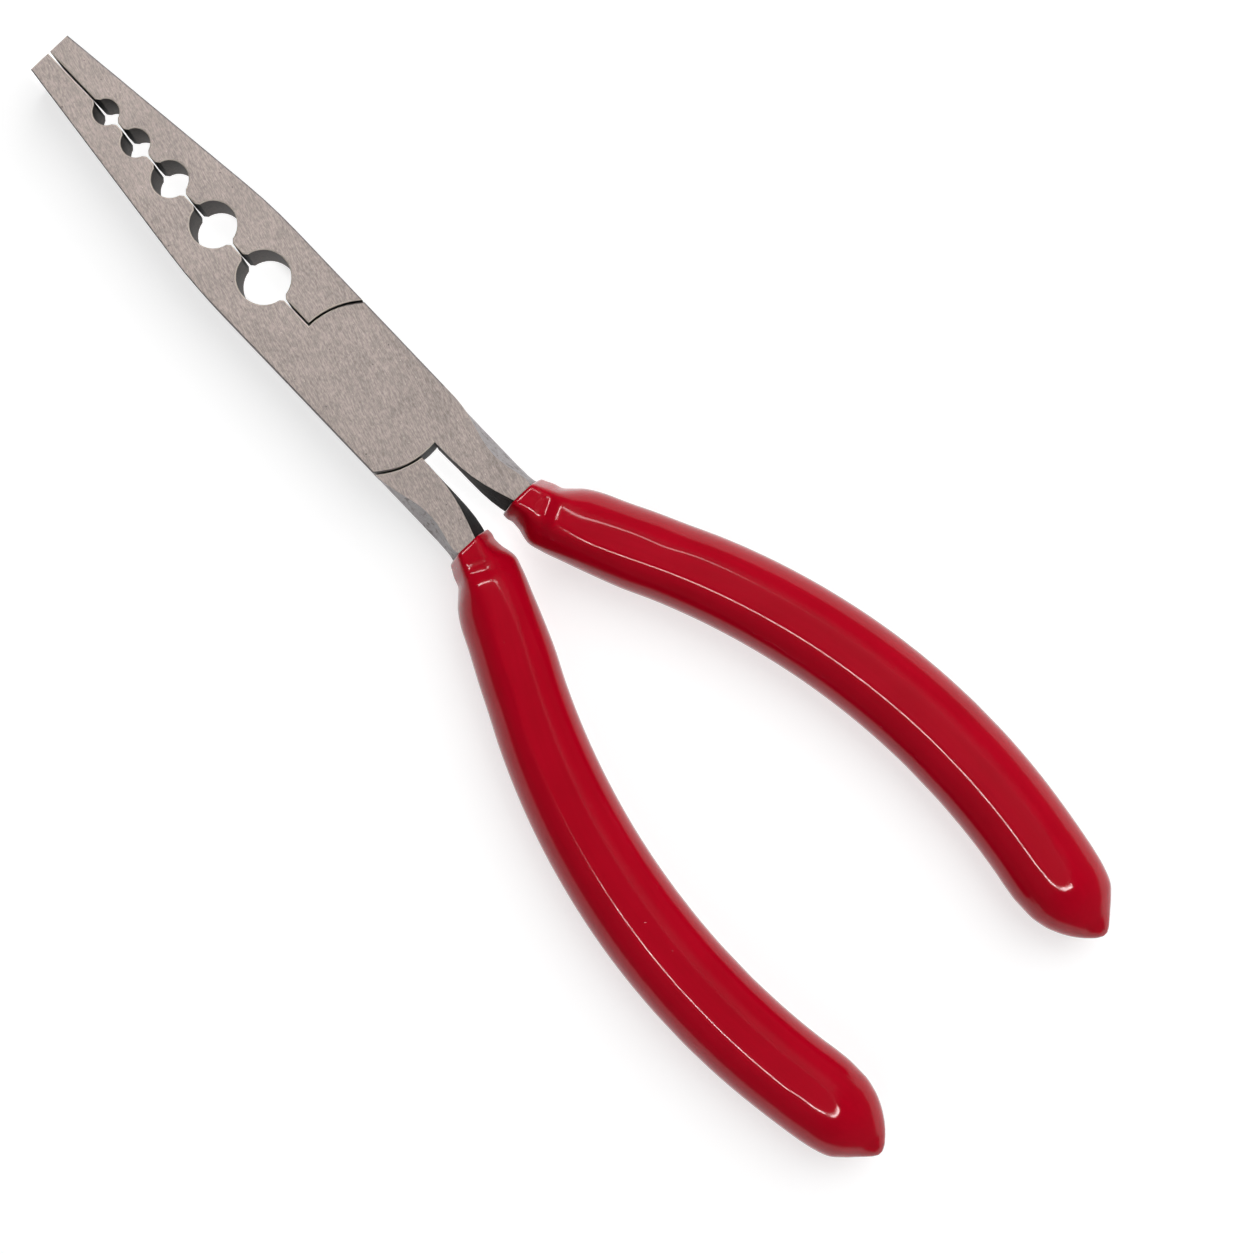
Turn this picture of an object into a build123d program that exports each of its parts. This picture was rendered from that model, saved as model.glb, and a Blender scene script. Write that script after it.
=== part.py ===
from build123d import *
import os
from math import cos, radians, sin, sqrt, tan

# Crimping pliers with a lap joint. Two like forged halves lie one on the other, one of them
# turned over, on a rivet that is ground flush. Each has a dip-moulded grip on its tang.
# Origin: the pivot's axis at the joint's lower face. +Y runs to the jaw tips, +Z is up.
# The blank half is drawn as the upper one: its jaw is at -X and its tang at +X.

# overall sizes
jaw_length = 50.0  # pivot to jaw tips
grip_reach = 100.0  # pivot to grip ends, along Y
thickness = 8.0  # ground face to ground face
joint_width = 12.14  # across the upright sides at the pivot

# jaws
tip_width = 5.4  # both jaws together, at the tips
taper_start = 21.5  # where the jaws' sides begin to close in
taper_blend = 64.0  # radius of that soft corner
tip_rounding = 0.4
jaw_gap = 0.25  # daylight along the seam with the grips at rest
hole_diameters = (6.0, 5.2, 4.1, 3.2, 2.9)  # crimp holes, from the joint to the tips
land_shares = (3.95, 2.3, 2.15, 1.75, 1.55, 7.45)  # steel before, between and after the holes
hole_lead = 0.35  # chamfer where a hole opens into the seam

# lap joint
lap_radius = 9.3  # round shoulder of each lap, about the pivot
shoulder_gap = 0.25  # between a lap and the shoulder that it turns in
lap_gap = 0.04  # between the two laps' faces
rivet_radius = 2.5
rivet_head_radius = 4.2
rivet_head_depth = 1.2
pivot_clearance = 0.03  # all round, in the half that turns on the rivet
edge_break = 0.12  # chamfer on the ground faces' edges

# tangs
slot_width = 2.1  # between the two tangs, below the joint
tang_draft = 1.3  # how far the forged sides lean in, from mid-thickness to a face
root_overlap = 1.5  # how far a tang is drawn into its lap
draft_steps = (  # below the joint's side: how much of the lean has set in, slot side and outer side
    (-root_overlap, 0.01, 0.01),
    (0.4, 0.01, 0.01),
    (2.9, 0.03, 0.3),
    (5.4, 0.1, 0.8),
    (7.9, 0.35, 1.0),
)
tang_neck_width = 4.55  # square to the handle, at the grip's mouth
tang_core_width = 6.2  # further down, inside the grip
core_relief = 0.6  # the tang is this much thinner there, on each face
tang_end_space = 7.5  # solid grip past the tang's end

# the line that a tang and its grip follow: a straight from the neck, a bow and an end straight
neck_y = 19.1  # below the pivot
handle_angle = 24.0  # outwards from straight down
neck_run = 21.3
turn_in_angle = 7.0  # inwards again, at the grip's end
end_run = 15.9
neck_start = 1.6  # along the line: the forged neck is done
core_start = 9.0  # and the tang has its inside section

# grips, dipped with the handles hanging down, so their mouths are level
mouth_drop = 0.7  # mouth below the neck's bend
lip_wall = 0.35  # skin at the mouth
lip_rounding = 1.4
neck_walls = (  # below the mouth: skin on the slot side and on the outer side
    (0, lip_wall, lip_wall),
    (2.7, 1.35, 0.45),
    (5.2, 2.65, 1.5),
)
swell_run = 11.0  # along the line: the full section begins
start_skin = 1.5  # skin beside the tang there
side_skin = 2.1  # and at the grip's end
face_skin = 1.45  # skin over the tang's faces
grip_rounding = 3.6
dome_steps = ((7.5, 1.0), (4.6, 0.86), (2.0, 0.6), (0.4, 0.25))  # before the end: share of the section

mid = thickness / 2
half_width = joint_width / 2
slot_side = slot_width / 2
tang_middle = (half_width + slot_side) / 2
joint_side = sqrt(lap_radius**2 - half_width**2)  # below the pivot, a lap's round meets the side
neck_half = tang_neck_width / 2
core_half = tang_core_width / 2
core_thickness = thickness - 2 * core_relief
lip_thickness = thickness + 2 * lip_wall
grip_thickness = core_thickness + 2 * face_skin
mouth_y = neck_y + mouth_drop
turned_over = Location((0, 0, thickness), (0, 180, 0))


def hole_places():
    """Centre of each crimp hole on the seam: the steel left along the seam is shared out."""
    edge = lap_radius + shoulder_gap
    land_scale = (jaw_length - edge - sum(hole_diameters)) / sum(land_shares)
    places = []
    for diameter, land in zip(hole_diameters, land_shares):
        edge += land * land_scale
        places.append((0, edge + diameter / 2))
        edge += diameter
    return places


def handle_line(skip_start=0, skip_end=0):
    """Centre line of a handle at mid-thickness. Its bow's radius is what the reach leaves."""
    outward = Vector(sin(radians(handle_angle)), -cos(radians(handle_angle)))
    inward = Vector(-sin(radians(turn_in_angle)), -cos(radians(turn_in_angle)))
    bow_drop = grip_reach - neck_y + neck_run * outward.Y + end_run * inward.Y
    bow_radius = bow_drop / (outward.X - inward.X)
    neck_point = Vector(tang_middle, -neck_y)
    with BuildLine() as line:
        neck = Line(neck_point + outward * skip_start, neck_point + outward * neck_run)
        bow = JernArc(neck @ 1, neck % 1, bow_radius, -handle_angle - turn_in_angle)
        Line(bow @ 1, (bow @ 1) + inward * (end_run - skip_end))
    return Pos(0, 0, mid) * line.wire()


def across_handle(distance):
    """Plane across the handle line, that far from the neck: local X outwards, local Y up."""
    place = handle.position_at(distance, position_mode=PositionMode.LENGTH)
    along = handle.tangent_at(distance, position_mode=PositionMode.LENGTH)
    return Plane(place, x_dir=(-along.Y, along.X, 0), z_dir=along)


def across_body(y):
    """Plane square to Y at mid-thickness: local X is the model's X, local Y is up."""
    return Plane((0, y, mid), x_dir=(1, 0, 0), z_dir=(0, -1, 0))


def tang_section(plane, inner, outer, inner_share=1.0, outer_share=1.0, depth=thickness):
    """Six-sided forged section, widest at mid-thickness, with a share of the draft on each side."""
    inner_draft, outer_draft = inner_share * tang_draft, outer_share * tang_draft
    with BuildSketch(plane) as section:
        with BuildLine():
            Polyline(
                (inner, 0),
                (inner + inner_draft, depth / 2),
                (outer - outer_draft, depth / 2),
                (outer, 0),
                (outer - outer_draft, -depth / 2),
                (inner + inner_draft, -depth / 2),
                close=True,
            )
        make_face()
    return section.sketch


def rivet_profile(clearance):
    """Half section of the rivet, or of the seat for it with a clearance all round."""
    shaft = rivet_radius + clearance
    head = rivet_head_radius + clearance
    with BuildSketch(Plane.XZ) as profile:
        with BuildLine():
            Polyline(
                (0, 0),
                (head, 0),
                (shaft, rivet_head_depth),
                (shaft, thickness - rivet_head_depth),
                (head, thickness),
                (0, thickness),
                close=True,
            )
        make_face()
    return profile.sketch


def grip_section(plane, inner, outer, depth, rounding):
    """Rounded section of a grip between two places along the plane's X."""
    with BuildSketch(plane) as section:
        with Locations(((inner + outer) / 2, 0)):
            RectangleRounded(outer - inner, depth, rounding)
    return section.sketch


def neck_grip_section(below_mouth, inner_wall, outer_wall):
    """Level section of the grip's neck: the tang there, with a skin of its own on each side."""
    y = mouth_y + below_mouth
    centre = tang_middle + (y - neck_y) * tan(radians(handle_angle))
    half = neck_half / cos(radians(handle_angle))
    swell = below_mouth / swell_run
    depth = lip_thickness + swell * (grip_thickness - lip_thickness)
    rounding = lip_rounding + swell * (grip_rounding - lip_rounding)
    inner, outer = centre - half - inner_wall, centre + half + outer_wall
    return grip_section(across_body(-y), inner, outer, depth, rounding)


def full_grip_section(distance, skin, share=1.0):
    """Section of the grip square to the handle line, or a share of it."""
    half = share * (core_half + skin)
    depth, rounding = share * grip_thickness, share * grip_rounding
    return grip_section(across_handle(distance), -half, half, depth, rounding)


def is_shoulder(edge):
    """Whether an arc is one that the other half's lap turns in."""
    return abs(edge.radius - lap_radius - shoulder_gap) < edge_break


handle = handle_line()

# tang: upright sides at the joint, forged sides below it, then one section along the handle
forged_sections = [
    tang_section(across_body(-joint_side - drop), slot_side, half_width, *draft_shares)
    for drop, *draft_shares in draft_steps
]
neck_section = tang_section(across_handle(neck_start), -neck_half, neck_half)
core_section = tang_section(across_handle(core_start), -core_half, core_half, depth=core_thickness)
with BuildPart() as tang:
    loft(forged_sections + [neck_section])
    loft([neck_section, core_section])
    sweep(core_section, path=handle_line(core_start, tang_end_space))

with BuildPart() as half_blank:
    # jaw, with the crimp holes' halves along its seam
    with BuildSketch() as jaw_plan:
        with BuildLine():
            Polyline(
                (-jaw_gap / 2, 0),
                (-jaw_gap / 2, jaw_length),
                (-tip_width / 2, jaw_length),
                (-half_width, taper_start),
                (-half_width, 0),
                close=True,
            )
        make_face()
        outer_corners = jaw_plan.vertices().filter_by_position(Axis.Y, taper_start, jaw_length)
        taper_corner, tip_corner = outer_corners.sort_by(Axis.X)[:2]
        fillet(taper_corner, taper_blend)
        fillet(tip_corner, tip_rounding)
        for place, diameter in zip(hole_places(), hole_diameters):
            with Locations(place):
                Circle(diameter / 2, mode=Mode.SUBTRACT)
        seam_corners = jaw_plan.vertices().group_by(Axis.X)[-1].sort_by(Axis.Y)
        chamfer(seam_corners[1:-1], hole_lead)
    extrude(amount=thickness)
    # lap, as wide as the joint and rounded about the pivot
    with BuildSketch():
        Circle(lap_radius)
        Rectangle(joint_width, 2 * lap_radius, mode=Mode.INTERSECT)
    extrude(amount=thickness)
    # broken edges round the ground faces
    ground_faces = half_blank.faces().filter_by(Axis.Z).group_by(Axis.Z)
    chamfer((ground_faces[0] + ground_faces[-1]).edges(), edge_break)
    add(tang.part)
    # room for the other half's lap, its edge broken too
    with BuildSketch():
        Circle(lap_radius + shoulder_gap)
    extrude(amount=mid + lap_gap / 2, mode=Mode.SUBTRACT)
    shoulder_edges = half_blank.faces().filter_by(Axis.Z).group_by(Axis.Z)[0].edges()
    chamfer(shoulder_edges.filter_by(GeomType.CIRCLE).filter_by(is_shoulder), edge_break)

with BuildPart() as upper_lap_half:
    add(half_blank.part)
    revolve(rivet_profile(0), axis=Axis.Z, mode=Mode.SUBTRACT)

with BuildPart() as lower_lap_half:
    with Locations(turned_over):
        add(half_blank.part)
    revolve(rivet_profile(pivot_clearance), axis=Axis.Z, mode=Mode.SUBTRACT)

with BuildPart() as pivot_rivet:
    revolve(rivet_profile(0), axis=Axis.Z)

# grip: a skin over the tang, thin at its mouth and closed past the tang's end
swollen_section = full_grip_section(swell_run, start_skin)
dome_sections = [
    full_grip_section(handle.length - before_end, side_skin, share)
    for before_end, share in dome_steps
]
grip_line = handle_line(swell_run, dome_steps[0][0])
with BuildPart() as grip_blank:
    loft([neck_grip_section(*walls) for walls in neck_walls] + [swollen_section])
    sweep([swollen_section, dome_sections[0]], path=grip_line, multisection=True)
    loft(dome_sections)
    add(tang.part, mode=Mode.SUBTRACT)

with BuildPart() as right_grip:
    add(grip_blank.part)

with BuildPart() as left_grip:
    with Locations(turned_over):
        add(grip_blank.part)

os.makedirs("parts", exist_ok=True)
pieces = {
    "upper_lap_half": upper_lap_half,
    "lower_lap_half": lower_lap_half,
    "pivot_rivet": pivot_rivet,
    "right_grip": right_grip,
    "left_grip": left_grip,
}
for label, piece in pieces.items():
    piece.part.label = label
    export_step(piece.part, f"parts/{label}.step")
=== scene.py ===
import math

import bpy
import numpy as np
from mathutils import Matrix, Vector, noise
from mathutils.bvhtree import BVHTree


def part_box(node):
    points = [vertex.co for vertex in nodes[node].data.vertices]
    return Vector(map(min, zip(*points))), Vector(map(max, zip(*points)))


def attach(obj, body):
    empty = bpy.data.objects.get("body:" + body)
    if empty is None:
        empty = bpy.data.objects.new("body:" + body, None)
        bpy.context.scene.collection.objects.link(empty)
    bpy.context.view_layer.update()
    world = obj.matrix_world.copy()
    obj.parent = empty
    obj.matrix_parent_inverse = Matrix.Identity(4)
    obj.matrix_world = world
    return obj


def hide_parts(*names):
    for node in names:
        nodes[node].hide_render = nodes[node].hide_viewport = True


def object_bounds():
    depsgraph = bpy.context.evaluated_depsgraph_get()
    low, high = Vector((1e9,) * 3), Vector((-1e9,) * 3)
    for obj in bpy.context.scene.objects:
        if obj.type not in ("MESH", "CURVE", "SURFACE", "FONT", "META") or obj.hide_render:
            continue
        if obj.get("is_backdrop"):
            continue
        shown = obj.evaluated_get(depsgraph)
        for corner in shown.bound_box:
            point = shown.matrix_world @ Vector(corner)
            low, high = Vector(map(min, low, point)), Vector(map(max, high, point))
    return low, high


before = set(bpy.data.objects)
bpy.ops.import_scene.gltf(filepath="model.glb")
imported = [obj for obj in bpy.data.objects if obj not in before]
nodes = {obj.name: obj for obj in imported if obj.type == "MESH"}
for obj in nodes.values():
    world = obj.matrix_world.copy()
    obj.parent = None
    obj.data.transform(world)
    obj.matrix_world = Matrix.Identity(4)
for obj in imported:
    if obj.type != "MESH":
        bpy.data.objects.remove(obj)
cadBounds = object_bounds()
mm = 0.001
midHeight = (cadBounds[0].z + cadBounds[1].z) / 2 / mm  # the plane between the two laps, in mm
print("frame loaded:", ", ".join(sorted(nodes)))


# small helpers for node trees
def startMaterial(name):
    material = bpy.data.materials.new(name)
    material.use_nodes = True
    tree = material.node_tree
    tree.nodes.clear()
    output = tree.nodes.new("ShaderNodeOutputMaterial")
    shader = tree.nodes.new("ShaderNodeBsdfPrincipled")
    tree.links.new(shader.outputs["BSDF"], output.inputs["Surface"])
    return material, tree, shader


def feed(tree, socket, value):
    # a link if value is a node's output, else a plain value
    if isinstance(value, bpy.types.NodeSocket):
        tree.links.new(value, socket)
    else:
        socket.default_value = value


def calc(tree, operation, a, b=0.0, c=0.0):
    node = tree.nodes.new("ShaderNodeMath")
    node.operation = operation
    for socket, value in zip(node.inputs, (a, b, c)):
        feed(tree, socket, value)
    return node.outputs[0]


def fade(tree, value, low, high, toLow=0.0, toHigh=1.0):
    node = tree.nodes.new("ShaderNodeMapRange")
    node.interpolation_type = "SMOOTHSTEP"
    for name, number in (("Value", value), ("From Min", low), ("From Max", high),
                         ("To Min", toLow), ("To Max", toHigh)):
        feed(tree, node.inputs[name], number)
    return node.outputs["Result"]


def blendColour(tree, factor, a, b):
    node = tree.nodes.new("ShaderNodeMix")
    node.data_type = "RGBA"
    feed(tree, node.inputs[0], factor)
    feed(tree, node.inputs[6], a)
    feed(tree, node.inputs[7], b)
    return node.outputs[2]


def blendNumber(tree, factor, a, b):
    node = tree.nodes.new("ShaderNodeMix")
    node.data_type = "FLOAT"
    feed(tree, node.inputs[0], factor)
    feed(tree, node.inputs[2], a)
    feed(tree, node.inputs[3], b)
    return node.outputs[0]


def placeVector(tree, x, y, z):
    node = tree.nodes.new("ShaderNodeCombineXYZ")
    for socket, value in zip(node.inputs, (x, y, z)):
        feed(tree, socket, value)
    return node.outputs[0]


def grain(tree, vector, scale, detail=2.0, roughness=0.5):
    node = tree.nodes.new("ShaderNodeTexNoise")
    feed(tree, node.inputs["Vector"], vector)
    node.inputs["Scale"].default_value = scale
    node.inputs["Detail"].default_value = detail
    node.inputs["Roughness"].default_value = roughness
    return node.outputs["Fac"]


def spots(tree, vector, scale, size, share, flat):
    # round spots in a share of the cells, 1 inside each spot; flat ones lie in the XY plane
    node = tree.nodes.new("ShaderNodeTexVoronoi")
    node.voronoi_dimensions = "2D" if flat else "3D"
    feed(tree, node.inputs["Vector"], vector)
    node.inputs["Scale"].default_value = scale
    chosen = tree.nodes.new("ShaderNodeSeparateColor")
    tree.links.new(node.outputs["Color"], chosen.inputs[0])
    picked = calc(tree, "GREATER_THAN", chosen.outputs[0], 1 - share)
    radius = calc(tree, "MULTIPLY_ADD", chosen.outputs[1], size * 0.6, size * 0.4)
    inside = fade(tree, calc(tree, "DIVIDE", node.outputs["Distance"], radius), 1.0, 0.55)
    return calc(tree, "MULTIPLY", inside, picked)


def objectPlace(tree):
    # object coordinates in mm, whole and split
    coordinates = tree.nodes.new("ShaderNodeTexCoord")
    scaled = tree.nodes.new("ShaderNodeVectorMath")
    scaled.operation = "SCALE"
    tree.links.new(coordinates.outputs["Object"], scaled.inputs[0])
    scaled.inputs["Scale"].default_value = 1 / mm
    split = tree.nodes.new("ShaderNodeSeparateXYZ")
    tree.links.new(scaled.outputs[0], split.inputs[0])
    return scaled.outputs[0], split.outputs[0], split.outputs[1], split.outputs[2]


def bumpFrom(tree, height, distance, strength, under=None):
    node = tree.nodes.new("ShaderNodeBump")
    node.inputs["Distance"].default_value = distance
    node.inputs["Strength"].default_value = strength
    tree.links.new(height, node.inputs["Height"])
    if under is not None:
        tree.links.new(under, node.inputs["Normal"])
    return node.outputs[0]


# ground faces, forged sides, and walls with painted shade
forgedSteel = {
    "groundLight": (0.318, 0.262, 0.236, 1),
    "groundDark": (0.125, 0.102, 0.091, 1),
    # painted shade: near-black upright walls, with a lighter random mottle
    "wallShadeBlack": (0.030, 0.025, 0.022, 1),
    "wallShadeMottle": (0.095, 0.078, 0.070, 1),
    # painted shade: black for the seam, the shoulder's slit and the sides that face them
    "gapShadeBlack": (0.004, 0.0035, 0.003, 1),
    "forgedSkin": (0.37, 0.348, 0.352, 1),
    "scaleBrown": (0.085, 0.062, 0.055, 1),
    # a painted highlight for edges that face inwards, also the colour of random bright specks; then a
    # dark line for the outer edges
    "edgeHighlightAndSpeck": (0.60, 0.53, 0.47, 1),
    "outerEdgeDark": (0.10, 0.09, 0.088, 1),
    "pitDark": (0.05, 0.04, 0.035, 1),
    "metal": 0.3,
    "wallMetal": 0.95,
    "groundRoughness": 0.42,
    "wallRoughness": 0.62,
    "streakAngle": 17.0,  # grinding marks lean this much from the tool's length
    "streakLength": 0.36,  # mm
    "streakWidth": 0.055,
    "streakShare": 0.54,  # how much each pattern lightens the ground faces
    "cloudShare": 0.14,
    "mottleShare": 0.32,
    "speckShare": 0.35,
    "pitShare": 0.85,
    "scaleShare": 0.7,
    "shoulder": 9.4,  # radius that the laps turn in
    "tip": 49.6,
}


def makeSteel(name, settings, phase):
    material, tree, shader = startMaterial(name)
    place, x, y, z = objectPlace(tree)
    geometry = tree.nodes.new("ShaderNodeNewGeometry")
    facing = tree.nodes.new("ShaderNodeSeparateXYZ")
    tree.links.new(geometry.outputs["True Normal"], facing.inputs[0])
    upward = calc(tree, "ABSOLUTE", facing.outputs[2])
    ground = fade(tree, upward, 0.93, 0.99)
    edge = calc(tree, "MULTIPLY", fade(tree, upward, 0.55, 0.66), fade(tree, upward, 0.86, 0.75))
    drafted = calc(tree, "MULTIPLY", fade(tree, upward, 0.08, 0.25), fade(tree, upward, 0.6, 0.5))
    # how far a side looks away from the tool's middle: 1 outwards, -1 towards the seam or slot
    own = tree.nodes.new("ShaderNodeTexCoord")
    ownNormal = tree.nodes.new("ShaderNodeSeparateXYZ")
    tree.links.new(own.outputs["Normal"], ownNormal.inputs[0])
    outward = calc(tree, "MULTIPLY", ownNormal.outputs[0], calc(tree, "SIGN", x))

    # grinding marks: short, fine, leaning
    lean = math.radians(settings["streakAngle"])
    along = calc(tree, "ADD", calc(tree, "MULTIPLY", x, math.sin(lean)),
                 calc(tree, "MULTIPLY", y, math.cos(lean)))
    across = calc(tree, "ADD", calc(tree, "MULTIPLY", x, math.cos(lean)),
                  calc(tree, "MULTIPLY", y, -math.sin(lean)))
    streakPlace = placeVector(tree,
                              calc(tree, "DIVIDE", along, settings["streakLength"]),
                              calc(tree, "DIVIDE", across, settings["streakWidth"]),
                              calc(tree, "ADD", z, phase))
    streaks = grain(tree, streakPlace, 0.55, 3.0, 0.6)
    clouds = grain(tree, place, 0.22, 3.0, 0.55)
    mottle = grain(tree, place, 2.6, 4.0, 0.65)
    pits = spots(tree, place, 0.42, 0.05, 0.28, True)
    specks = spots(tree, place, 1.1, 0.09, 0.12, True)

    streakTone = calc(tree, "MULTIPLY", fade(tree, streaks, 0.36, 0.66), settings["streakShare"])
    cloudTone = calc(tree, "MULTIPLY", fade(tree, clouds, 0.3, 0.7), settings["cloudShare"])
    mottleTone = calc(tree, "MULTIPLY", fade(tree, mottle, 0.3, 0.7), settings["mottleShare"])
    tone = calc(tree, "ADD", streakTone, calc(tree, "ADD", cloudTone, mottleTone))
    groundColour = blendColour(tree, tone, settings["groundDark"], settings["groundLight"])
    speckMask = calc(tree, "MULTIPLY", specks, settings["speckShare"])
    groundColour = blendColour(tree, speckMask, groundColour, settings["edgeHighlightAndSpeck"])
    pitMask = calc(tree, "MULTIPLY", pits, settings["pitShare"])
    groundColour = blendColour(tree, pitMask, groundColour, settings["pitDark"])

    forgedTone = fade(tree, mottle, 0.3, 0.75)
    scale = grain(tree, place, 0.9, 4.0, 0.7)
    scalePatch = fade(tree, scale, 0.54, 0.64)
    skinColour = blendColour(tree, calc(tree, "MULTIPLY", forgedTone, 0.45),
                             settings["forgedSkin"], settings["groundDark"])
    scaleMask = calc(tree, "MULTIPLY", scalePatch, settings["scaleShare"])
    skinColour = blendColour(tree, scaleMask, skinColour, settings["scaleBrown"])
    # painted shade: upright walls are painted near-black with a random lighter mottle; those that face
    # outwards get the skin colour below
    wallColour = blendColour(tree, forgedTone, settings["wallShadeBlack"], settings["wallShadeMottle"])
    # painted shade: the walls at the seam and in the shoulder's slit are painted black
    square = calc(tree, "ADD", calc(tree, "MULTIPLY", x, x), calc(tree, "MULTIPLY", y, y))
    fromPivot = calc(tree, "SQRT", square)
    offShoulder = calc(tree, "ABSOLUTE", calc(tree, "SUBTRACT", fromPivot, settings["shoulder"]))
    seamShadeMask = calc(tree, "MAXIMUM", fade(tree, offShoulder, 0.55, 0.4),
                fade(tree, calc(tree, "ABSOLUTE", x), 0.5, 0.35))
    wallColour = blendColour(tree, seamShadeMask, wallColour, settings["gapShadeBlack"])
    # the outer sides and the tip keep the forging's skin, upright or drafted
    atTip = fade(tree, y, settings["tip"] - 1, settings["tip"])
    outerSide = calc(tree, "MAXIMUM", fade(tree, outward, 0.05, 0.25), atTip)
    wallColour = blendColour(tree, outerSide, wallColour, skinColour)
    # painted shade: drafted sides that face the seam or slot are painted black
    inwards = fade(tree, outward, 0.0, -0.4)
    skinColour = blendColour(tree, inwards, skinColour, settings["gapShadeBlack"])
    colour = blendColour(tree, drafted, wallColour, skinColour)
    # painted highlight on the edges that face inwards; a dark line painted along the outer edges
    edgeColour = blendColour(tree, fade(tree, outward, 0.15, 0.4),
                             settings["edgeHighlightAndSpeck"], settings["outerEdgeDark"])
    colour = blendColour(tree, edge, colour, edgeColour)
    colour = blendColour(tree, ground, colour, groundColour)
    tree.links.new(colour, shader.inputs["Base Color"])

    bare = calc(tree, "MAXIMUM", ground, calc(tree, "MAXIMUM", edge, outerSide))
    tree.links.new(blendNumber(tree, bare, settings["wallMetal"], settings["metal"]),
                   shader.inputs["Metallic"])
    groundRough = calc(tree, "ADD", settings["groundRoughness"] - 0.06,
                       calc(tree, "MULTIPLY", streaks, 0.12))
    wallRough = calc(tree, "ADD", settings["wallRoughness"] - 0.08, calc(tree, "MULTIPLY", mottle, 0.16))
    rough = blendNumber(tree, ground, wallRough, groundRough)
    tree.links.new(rough, shader.inputs["Roughness"])

    fine = bumpFrom(tree, mottle, 0.00006, 0.35)
    groundMarks = calc(tree, "SUBTRACT", calc(tree, "MULTIPLY", streaks, ground),
                       calc(tree, "MULTIPLY", pits, 1.5))
    skinMarks = calc(tree, "MULTIPLY", scalePatch, calc(tree, "MULTIPLY", drafted, 1.6))
    marks = calc(tree, "SUBTRACT", groundMarks, skinMarks)
    tree.links.new(bumpFrom(tree, marks, 0.00003, 0.5, fine), shader.inputs["Normal"])
    return material


upperSteel = makeSteel("ground forged steel, upper", forgedSteel, 0.0)
lowerSteel = makeSteel("ground forged steel, lower", forgedSteel, 37.0)
rivetSteel = makeSteel("ground rivet steel", {**forgedSteel, "groundRoughness": 0.40}, 11.0)
for nodeName, steel in (("upper_lap_half", upperSteel), ("lower_lap_half", lowerSteel),
                        ("pivot_rivet", rivetSteel)):
    nodes[nodeName].data.materials.clear()
    nodes[nodeName].data.materials.append(steel)
print("steel done")


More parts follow.
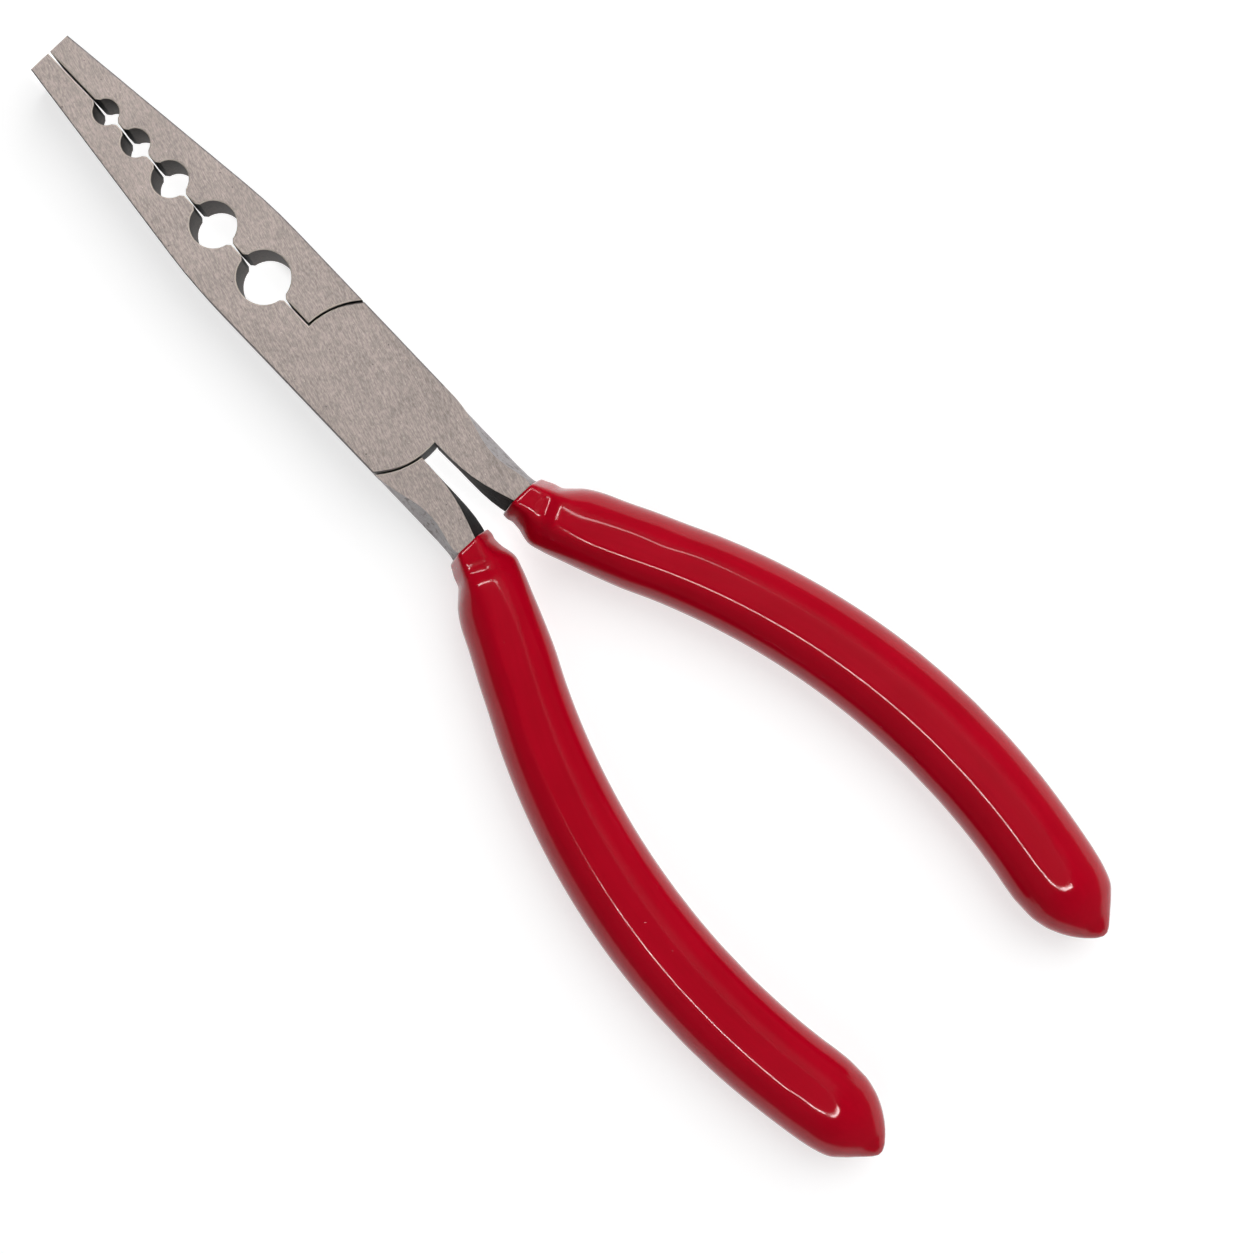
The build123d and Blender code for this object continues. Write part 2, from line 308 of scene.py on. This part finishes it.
# a grip is drawn as the right-hand one: x outwards from the tool's middle, y along it,
# z up from mid-thickness. All sizes are in mm.
gripShape = {
    "mouth": -19.8,
    "innerBow": (-71.62, -73.62, 85.91),  # centre x, y and radius of the inner outline
    "outerBow": (-61.86, -74.34, 86.67),
    "middleBow": (-66.82, -74.00, 86.38),
    "bowStart": -34.5,
    "bowEnd": -86.5,
    # level, inner outline, outer outline: the thin lip, the collar, a dip and the swelling
    "neck": ((-19.80, 1.35, 6.50), (-19.95, 1.16, 6.86), (-20.45, 1.15, 7.15),
             (-21.30, 1.36, 7.60), (-22.20, 1.32, 7.92), (-23.10, 1.12, 8.75),
             (-24.00, 0.99, 9.66), (-25.60, 1.38, 10.74), (-28.20, 2.35, 12.00),
             (-31.50, 3.62, 13.68)),
    # the end leans to its drip
    "end": ((-88.50, 12.98, 23.66), (-90.50, 12.76, 23.34), (-92.50, 12.74, 22.98),
            (-94.50, 13.08, 22.48), (-96.00, 13.66, 21.90), (-97.30, 14.40, 20.80),
            (-98.30, 15.15, 19.74), (-99.10, 15.92, 18.88), (-99.60, 16.50, 18.30),
            (-99.88, 17.00, 17.86)),
    "tip": (17.42, -99.95),
    # level, height of the top over mid-thickness
    "crown": ((-19.80, 4.18), (-19.95, 4.33), (-20.30, 4.38), (-21.50, 4.37), (-21.90, 4.31),
              (-22.45, 4.20), (-22.90, 4.23), (-23.50, 4.50), (-23.90, 4.67), (-24.30, 4.76),
              (-25.20, 4.80), (-31.00, 4.84), (-60.00, 4.85), (-86.50, 4.85), (-91.60, 4.84),
              (-92.50, 4.78), (-93.10, 4.65), (-94.00, 4.29), (-95.00, 3.82), (-96.00, 3.24),
              (-97.00, 2.60), (-98.00, 1.90), (-98.80, 1.36), (-99.40, 0.90), (-99.88, 0.36)),
    # level, the top facet's two edges
    "facet": ((-19.80, 2.62, 5.52), (-21.30, 2.98, 6.16), (-22.40, 3.30, 6.56), (-23.60, 3.72, 6.62),
              (-25.40, 4.36, 6.95), (-28.40, 5.40, 8.45), (-32.00, 7.12, 10.24), (-34.50, 8.42, 11.30)),
    "facetHalf": 1.42,
    "facetTaper": 0.22,  # how far the facet leaves the middle bow by its end
    "facetEnd": ((-88.20, 16.80, 19.45), (-90.20, 16.72, 19.12), (-91.40, 16.92, 18.76),
                 (-92.20, 17.22, 18.46), (-92.90, 17.52, 18.24), (-94.00, 17.56, 18.12),
                 (-96.00, 17.30, 17.90), (-98.30, 17.20, 17.66), (-99.88, 17.30, 17.52)),
    # level, then the crease along the facet in degrees, its rounding, and how six-sided the section is
    "crease": ((-19.80, 6.0), (-22.40, 4.0), (-24.50, 14.0), (-28.00, 22.0), (-86.00, 22.0),
               (-92.00, 18.0), (-94.60, 4.0), (-99.88, 0.0)),
    "creaseRounding": ((-19.80, 0.45), (-22.40, 0.80), (-25.00, 0.70), (-28.00, 0.42), (-32.00, 0.25),
                       (-88.50, 0.25), (-91.00, 0.45), (-93.60, 0.75), (-99.88, 0.10)),
    "sixSided": ((-19.80, 0.92), (-21.50, 0.8), (-23.20, 0.45), (-25.50, 0.12), (-28.00, 0.0),
                 (-99.88, 0.0)),
    "sidePoints": 18,
    "cornerPoints": 5,
    "wander": 0.014,  # slow unevenness of the skin
    "ripple": 0.0025,
    "shoulderLean": 0.42,  # the collar's dip and the shoulder run square to the handle
    "fit": 0.02,  # room round the tang
    "hollowPast": 0.12,  # the hollow ends this far past the tang
}


def throughKeys(keys, column, level):
    # smooth curve through (level, value, ...) keys with no overshoot between them
    order = sorted(keys)
    at = np.array([key[0] for key in order])
    values = np.array([key[column] for key in order])
    slopes = np.diff(values) / np.diff(at)
    tangents = np.zeros(len(at))
    tangents[0], tangents[-1] = slopes[0], slopes[-1]
    for i in range(1, len(at) - 1):
        before, after = slopes[i - 1], slopes[i]
        if before * after > 0:
            w1 = 2 * (at[i + 1] - at[i]) + (at[i] - at[i - 1])
            w2 = (at[i + 1] - at[i]) + 2 * (at[i] - at[i - 1])
            tangents[i] = (w1 + w2) / (w1 / before + w2 / after)
    i = int(np.clip(np.searchsorted(at, level) - 1, 0, len(at) - 2))
    step = at[i + 1] - at[i]
    t = (level - at[i]) / step
    return ((1 + 2 * t) * (1 - t) ** 2 * values[i] + t * (1 - t) ** 2 * step * tangents[i]
            + t * t * (3 - 2 * t) * values[i + 1] + t * t * (t - 1) * step * tangents[i + 1])


def ramp(value):
    return min(1.0, max(0.0, value))


def onBow(bow, level):
    centreX, centreY, radius = bow
    return centreX + math.sqrt(radius ** 2 - (level - centreY) ** 2)


def fillBow(settings):
    # the outline's and the facet's keys along the whole grip
    bowStart, bowEnd = settings["bowStart"], settings["bowEnd"]
    levels = np.linspace(bowStart, bowEnd, 15)
    outline = list(settings["neck"])
    outline += [(y, onBow(settings["innerBow"], y), onBow(settings["outerBow"], y)) for y in levels]
    outline += list(settings["end"])
    facet = list(settings["facet"])
    _, centreY, radius = settings["middleBow"]
    for y in levels[1:]:
        drift = settings["facetTaper"] * (bowStart - y) / (bowStart - bowEnd)
        middle = onBow(settings["middleBow"], y) - drift
        slant = radius / math.sqrt(radius ** 2 - (y - centreY) ** 2)
        half = settings["facetHalf"] * slant
        facet.append((y, middle - half, middle + half))
    facet += list(settings["facetEnd"])
    return outline, facet


def spread(points, count):
    # the same line with count points, evenly apart
    line = np.array(points)
    run = np.concatenate(([0], np.cumsum(np.hypot(*np.diff(line, axis=0).T))))
    at = np.linspace(0, run[-1], count)
    return [(np.interp(d, run, line[:, 0]), np.interp(d, run, line[:, 1])) for d in at]


def sideCurve(facetEdge, top, side, creaseAngle, sixSided):
    # from the facet's edge down to mid-thickness
    lean = math.radians(creaseAngle)
    points = []
    for t in np.linspace(0, 1, 61):
        turn = lean + t * (math.pi / 2 - lean)
        roundX = (math.sin(turn) - math.sin(lean)) / (1 - math.sin(lean))
        roundZ = math.cos(turn) / math.cos(lean)
        shareX = roundX + (t - roundX) * sixSided
        shareZ = roundZ + (1 - t - roundZ) * sixSided
        points.append((facetEdge + (side - facetEdge) * shareX, top * shareZ))
    return points


def roundCorner(flatEnd, sidePoints, size, count):
    # a small round from the flat facet into the side; returns it and what is left of the side
    corner = Vector(sidePoints[0])
    far = [k for k, point in enumerate(sidePoints) if (Vector(point) - corner).length > size]
    start = Vector(sidePoints[far[0]])
    flat = corner + (Vector(flatEnd) - corner).normalized() * size
    made = []
    for t in np.linspace(0, 1, count):
        made.append(tuple(flat * (1 - t) ** 2 + corner * 2 * t * (1 - t) + start * t * t))
    return made, sidePoints[far[0]:]


def upperHalfRing(settings, outline, facet, y):
    # points from the outer side over the top to the inner side
    inner, outer = throughKeys(outline, 1, y), throughKeys(outline, 2, y)
    innerEdge, outerEdge = throughKeys(facet, 1, y), throughKeys(facet, 2, y)
    top = throughKeys(settings["crown"], 1, y)
    angle = throughKeys(settings["crease"], 1, y)
    sixSided = throughKeys(settings["sixSided"], 1, y)
    size = min(throughKeys(settings["creaseRounding"], 1, y), 0.4 * (outerEdge - innerEdge))
    middle = (0.5 * (innerEdge + outerEdge), top)
    halves = []
    for edge, side in ((outerEdge, outer), (innerEdge, inner)):
        down = sideCurve(edge, top, side, angle, sixSided)
        corner, rest = roundCorner(middle, down, size, settings["cornerPoints"])
        halves.append(corner + spread(rest, settings["sidePoints"])[1:])
    outerHalf, innerHalf = halves
    flat = spread([outerHalf[0], innerHalf[0]], 7)[1:-1]
    return outerHalf[::-1] + flat + innerHalf


def leanShoulder(settings, row):
    # from just under the mouth to where the bow starts, the crown follows a leaning level
    level = row[0][1]
    share = ramp((settings["mouth"] - 0.8 - level) / 1.2) * ramp((level + 32) / 4)
    middle = (row[:, 0].min() + row[:, 0].max()) / 2
    here = throughKeys(settings["crown"], 1, level)
    for point in row:
        leaning = level - settings["shoulderLean"] * share * (point[0] - middle)
        point[2] *= throughKeys(settings["crown"], 1, leaning) / here


def gripLevels(settings):
    # where the rings of the skin lie: close together at the collar and at the end
    mouth, low = settings["mouth"], settings["end"][-1][0]
    levels = list(np.arange(mouth, mouth - 1.0, -0.075))
    levels += list(np.arange(levels[-1] - 0.13, -27.0, -0.13))
    levels += list(np.arange(levels[-1] - 0.5, -88.0, -0.5))
    levels += list(np.arange(levels[-1] - 0.2, -96.0, -0.2))
    levels += list(np.linspace(levels[-1] - 0.12, low, 30))
    return levels


def meetTang(tang, centre, away):
    # where a level ray leaves the tang; a ray that slips through a seam is tried again beside it
    for shift in (0, 0.01, -0.01, 0.03, -0.03):
        turned = (away + Vector((away.z, 0, -away.x)) * shift).normalized()
        hit = tang.ray_cast(centre + Vector((0, shift * 0.1, 0)), turned)[0]
        if hit is not None:
            return Vector((hit.x, centre.y, hit.z))
    return centre + away * 0.5


def makeGrip(name, settings, tangNode, side, seed):
    outline, facet = fillBow(settings)
    rings = []
    for y in gripLevels(settings):
        over = upperHalfRing(settings, outline, facet, y)
        under = [(x, -z) for x, z in over[-2:0:-1]]
        rings.append([(x, y, z) for x, z in over + under])
    perRing = len(rings[0])
    points = np.array(rings)

    # slow unevenness of a dipped skin, least at the lip and the drip
    for row in points:
        level = row[0][1]
        hold = ramp((settings["mouth"] - level) / 5) * ramp((level + 99.7) / 6)
        leanShoulder(settings, row)
        middle = row.mean(axis=0)
        for point in row:
            wander = noise.noise(Vector((point[0] * 0.16, point[1] * 0.12, point[2] * 0.2 + seed)))
            ripple = noise.noise(Vector((point[0] * 0.45, point[1] * 0.5, point[2] * 0.45 + seed)))
            away = point - middle
            reach = math.hypot(away[0], away[2])
            swell = settings["wander"] * wander + settings["ripple"] * ripple
            push = hold * swell / max(reach, 1e-6)
            point[0] += away[0] * push
            point[2] += away[2] * push

    # the hollow: the tang's own surface, met by rays from its middle
    tang = BVHTree.FromPolygons([v.co / mm for v in tangNode.data.vertices],
                                [p.vertices[:] for p in tangNode.data.polygons])
    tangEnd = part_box(tangNode.name)[0].y / mm
    hollowLevels = list(np.arange(settings["mouth"], -30.0, -0.6))
    hollowLevels += list(np.arange(-30.0, tangEnd + 0.35, -1.5))
    hollowLevels.append(tangEnd + settings["hollowPast"])
    hollow = []
    gripMiddle = (points[0][:, 0].min() + points[0][:, 0].max()) / 2
    for y in hollowLevels:
        scan = [tang.ray_cast(Vector((start, y, midHeight)), Vector((heading, 0, 0)))[0]
                for start, heading in ((side * 0.2, side), (side * 40, -side))]
        centre = Vector(((scan[0].x + scan[1].x) / 2, y, midHeight))
        row = []
        for x, _, z in points[0]:
            away = Vector((side * (x - gripMiddle), 0, side * z)).normalized()
            met = meetTang(tang, centre, away) + away * settings["fit"]
            row.append((met.x, met.y, met.z))
        hollow.append(row)

    skin = [(side * x, y, midHeight + side * z) for row in points for x, y, z in row]
    tip = (side * settings["tip"][0], settings["tip"][1], midHeight)
    inside = [place for row in hollow for place in row]
    innerTip = (centre.x, hollowLevels[-1], midHeight)
    vertices = [Vector(v) * mm for v in skin + [tip] + inside + [innerTip]]
    faces = []

    def bridge(first, second):
        for i in range(perRing):
            j = (i + 1) % perRing
            faces.append((first + i, first + j, second + j, second + i))

    def closeOver(ring, point):
        for i in range(perRing):
            faces.append((ring + i, ring + (i + 1) % perRing, point))

    for k in range(len(points) - 1):
        bridge(k * perRing, (k + 1) * perRing)
    tipIndex = len(skin)
    closeOver((len(points) - 1) * perRing, tipIndex)
    insideStart = tipIndex + 1
    bridge(insideStart, 0)
    for k in range(len(hollow) - 1):
        bridge(insideStart + (k + 1) * perRing, insideStart + k * perRing)
    lastInside = insideStart + (len(hollow) - 1) * perRing
    innerTipIndex = len(vertices) - 1
    for i in range(perRing):
        faces.append((lastInside + (i + 1) % perRing, lastInside + i, innerTipIndex))

    mesh = bpy.data.meshes.new(name)
    mesh.from_pydata(vertices, [], faces)
    mesh.validate()
    mesh.update()
    mesh.shade_smooth()
    grip = bpy.data.objects.new(name, mesh)
    bpy.context.scene.collection.objects.link(grip)
    print(name, len(mesh.vertices), "vertices")
    return grip


gripVinyl = {
    "red": (0.405, 0.0006, 0.0120, 1),
    "redDeep": (0.355, 0.0004, 0.0095, 1),
    "roughness": 0.12,
    "gloss": 0.27,
    "runLength": 9.0,  # mm, along the bow
    "runWidth": 0.45,
}


def makeVinyl(name, settings, shape):
    material, tree, shader = startMaterial(name)
    place, x, y, z = objectPlace(tree)
    # runs follow the bow: distance from its centre and travel round it
    centreX, centreY, bowRadius = shape["middleBow"]
    fromX = calc(tree, "SUBTRACT", calc(tree, "ABSOLUTE", x), centreX)
    fromY = calc(tree, "SUBTRACT", y, centreY)
    reach = calc(tree, "SQRT", calc(tree, "ADD", calc(tree, "MULTIPLY", fromX, fromX),
                                    calc(tree, "MULTIPLY", fromY, fromY)))
    travel = calc(tree, "MULTIPLY", calc(tree, "ARCTAN2", fromY, fromX), bowRadius)
    runPlace = placeVector(tree, calc(tree, "DIVIDE", reach, settings["runWidth"]),
                           calc(tree, "DIVIDE", travel, settings["runLength"]),
                           calc(tree, "DIVIDE", z, settings["runWidth"]))
    runs = grain(tree, runPlace, 0.8, 3.0, 0.55)
    clouds = grain(tree, place, 0.16, 2.0, 0.5)
    fine = grain(tree, place, 6.0, 3.0, 0.6)
    tone = calc(tree, "ADD", calc(tree, "MULTIPLY", fade(tree, runs, 0.3, 0.7), 0.5),
                calc(tree, "MULTIPLY", fade(tree, clouds, 0.3, 0.7), 0.5))
    tree.links.new(blendColour(tree, tone, settings["redDeep"], settings["red"]),
                   shader.inputs["Base Color"])
    rough = calc(tree, "ADD", settings["roughness"] - 0.03, calc(tree, "MULTIPLY", fine, 0.07))
    tree.links.new(rough, shader.inputs["Roughness"])
    shader.inputs["IOR"].default_value = 1.5
    shader.inputs["Specular IOR Level"].default_value = settings["gloss"]
    nicks = spots(tree, place, 0.6, 0.13, 0.14, False)
    uneven = calc(tree, "SUBTRACT", calc(tree, "MULTIPLY", runs, 0.35),
                  calc(tree, "MULTIPLY", nicks, 1.2))
    fineBump = bumpFrom(tree, fine, 0.00001, 0.25)
    tree.links.new(bumpFrom(tree, uneven, 0.00003, 0.3, fineBump), shader.inputs["Normal"])
    return material


vinyl = makeVinyl("dipped red vinyl", gripVinyl, gripShape)
for gripName, nodeName, tangName, body, side, seed in (
        ("right_dipped_grip", "right_grip", "upper_lap_half", "upper_half", 1, 3.1),
        ("left_dipped_grip", "left_grip", "lower_lap_half", "lower_half", -1, 8.7)):
    grip = makeGrip(gripName, gripShape, nodes[tangName], side, seed)
    grip.data.materials.append(vinyl)
    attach(grip, body)
    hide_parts(nodeName)
print("grips done")


# pale floor and soft surround
studio = {
    "floorSize": 60000.0,
    "floorColour": (0.37, 0.37, 0.37, 1),
    "floorGlow": 0.68,  # the floor gives light of its own, so that it is pale all over
    # a painted pool of light on the floor under the tool's seam and slot
    "paintedLightUnderSlot": 0.93,  # brighter under the tool's seam and slot
    "floorGap": 0.01,  # mm under the tool
    "skyHigh": (0.04, 0.04, 0.04, 1),
    "skyLow": (0.11, 0.11, 0.11, 1),
    "skyStrength": 1.0,
}
# direction towards the lamp, distance, size in mm, watts, and if only gloss shows it
softboxes = {
    "key softbox": ((0.58, 0.06, 1.0), 700.0, (620.0, 620.0), 5.7, False),
    "fill softbox": ((-0.80, -0.20, 0.9), 700.0, (500.0, 500.0), 1.1, False),
    "strip softbox": ((-0.36, -0.28, 1.0), 700.0, (28.0, 250.0), 1.8, True),
    "tail softbox": ((-0.05, -0.58, 1.0), 700.0, (330.0, 50.0), 2.2, True),
    "side softbox": ((0.33, 0.16, 1.0), 700.0, (110.0, 170.0), 0.7, True),
    "top softbox": ((0.03, 0.38, 1.0), 700.0, (300.0, 60.0), 1.7, True),
}


def makeFloor(settings):
    half = settings["floorSize"] / 2 * mm
    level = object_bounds()[0].z - settings["floorGap"] * mm
    corners = [(-half, -half, level), (half, -half, level), (half, half, level), (-half, half, level)]
    mesh = bpy.data.meshes.new("floor")
    mesh.from_pydata(corners, [], [(0, 1, 2, 3)])
    floor = bpy.data.objects.new("floor", mesh)
    bpy.context.scene.collection.objects.link(floor)
    material, tree, shader = startMaterial("matt white table")
    place, x, y, _ = objectPlace(tree)
    texture = grain(tree, place, 0.8, 3.0, 0.6)
    tree.links.new(fade(tree, texture, 0.0, 1.0, 0.75, 0.95), shader.inputs["Roughness"])
    shader.inputs["Base Color"].default_value = settings["floorColour"]
    shader.inputs["Specular IOR Level"].default_value = 0.1
    shader.inputs["Emission Color"].default_value = (1, 1, 1, 1)
    # painted light: a patch of brighter glow under the seam and slot
    seam = calc(tree, "MULTIPLY", fade(tree, calc(tree, "ABSOLUTE", x), 3.4, 1.8),
                fade(tree, y, -30, -20))
    tree.links.new(blendNumber(tree, seam, settings["floorGlow"], settings["paintedLightUnderSlot"]),
                   shader.inputs["Emission Strength"])
    mesh.materials.append(material)
    floor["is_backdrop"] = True


def aimed(place, target, up):
    # a matrix at place whose -Z looks at target
    back = (place - target).normalized()
    right = up.cross(back).normalized()
    matrix = Matrix((right, back.cross(right), back)).transposed().to_4x4()
    matrix.translation = place
    return matrix


def addSoftbox(name, target, direction, distance, size, power, glossOnly):
    light = bpy.data.lights.new(name, "AREA")
    light.shape = "RECTANGLE"
    light.size, light.size_y = size[0] * mm, size[1] * mm
    light.energy = power
    lamp = bpy.data.objects.new(name, light)
    bpy.context.scene.collection.objects.link(lamp)
    place = target + Vector(direction).normalized() * distance * mm
    lamp.matrix_world = aimed(place, target, Vector((0, 1, 0)))
    lamp.visible_glossy = glossOnly
    lamp.visible_diffuse = not glossOnly


makeFloor(studio)
toolMiddle = (cadBounds[0] + cadBounds[1]) / 2
for lampName, lampSettings in softboxes.items():
    addSoftbox(lampName, toolMiddle, *lampSettings)

world = bpy.data.worlds.new("studio surround")
bpy.context.scene.world = world
world.use_nodes = True
worldTree = world.node_tree
background = worldTree.nodes["Background"]
skyPlace = worldTree.nodes.new("ShaderNodeTexCoord")
skySplit = worldTree.nodes.new("ShaderNodeSeparateXYZ")
worldTree.links.new(skyPlace.outputs["Generated"], skySplit.inputs[0])
skyShare = fade(worldTree, skySplit.outputs[2], 0.15, 0.75)
worldTree.links.new(blendColour(worldTree, skyShare, studio["skyLow"], studio["skyHigh"]),
                    background.inputs["Color"])
background.inputs["Strength"].default_value = studio["skyStrength"]
print("studio done")


# where the camera stands and looks, in mm
view = {
    "place": (-8.59, -32.01, 280.0),
    "target": (2.50, -38.33, 4.0),
    "up": (0.6908, 0.7231, 0.0),
    "lens": 71.67,
}
cameraData = bpy.data.cameras.new("camera")
cameraData.lens = view["lens"]
cameraData.sensor_width = 36
cameraData.clip_start = 0.01
camera = bpy.data.objects.new("camera", cameraData)
bpy.context.scene.collection.objects.link(camera)
camera.matrix_world = aimed(Vector(view["place"]) * mm, Vector(view["target"]) * mm, Vector(view["up"]))
bpy.context.scene.camera = camera
bpy.context.scene.view_settings.view_transform = "Standard"
print("camera done")
